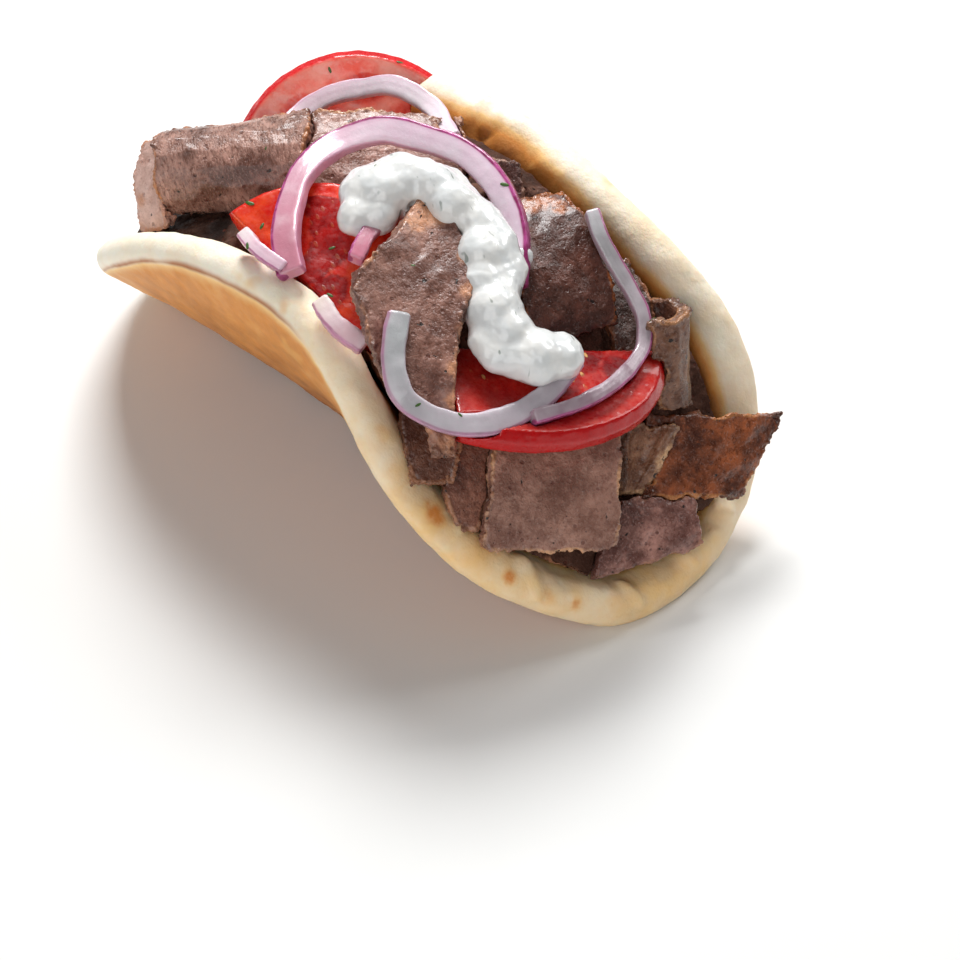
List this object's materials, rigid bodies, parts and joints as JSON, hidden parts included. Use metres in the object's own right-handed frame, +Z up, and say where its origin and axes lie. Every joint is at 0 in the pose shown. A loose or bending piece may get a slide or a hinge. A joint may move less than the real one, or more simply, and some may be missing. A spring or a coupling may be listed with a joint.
{
  "type": "gyro wrap",
  "caption": "Soft round flatbread folded into an open trough and heaped with thin slices of roast meat, tomato, red onion and white sauce.",
  "frame": {"origin": "On the surface the wrap lies on, on the flat pressed underside, below the middle of the fold.", "axes": "+Z points up. +X runs along the fold, towards the end where the filling spills over the rim. +Y points to the steeper wall of the bread, and the lower wall leans out on the -Y side."},
  "size_m": [0.1816, 0.1037, 0.0906],
  "materials": {
    "bread": "soft matte baked crumb, cream with golden patches",
    "meat": "fine-grained, moist, brown with paler specks",
    "tomato": "wet cut flesh with glossy skin",
    "onion": "smooth and half clear, with a purple outer skin",
    "sauce": "thick, creamy and glossy"
  },
  "bodies": {
    "root": {"pita": "bread", "onion_back": "onion", "onion_ring": "onion", "onion_front": "onion", "onion_far": "onion", "onion_rim_back": "onion", "onion_rim_front": "onion", "onion_under_sauce": "onion", "meat_centre": "meat", "tomato_back": "tomato", "tomato_near": "tomato", "tomato_front": "tomato", "meat_roll_back": "meat", "meat_roll_end": "meat", "meat_behind_onion": "meat", "meat_far_scrap": "meat", "meat_far_upper": "meat", "meat_far_middle": "meat", "meat_far_curl": "meat", "meat_front_slab": "meat", "meat_front_loop": "meat", "meat_over_rim": "meat", "meat_front_low": "meat", "meat_near_low": "meat", "meat_under_centre": "meat", "sauce": "sauce", "meat_layers": "meat"}
  },
  "joints": []
}
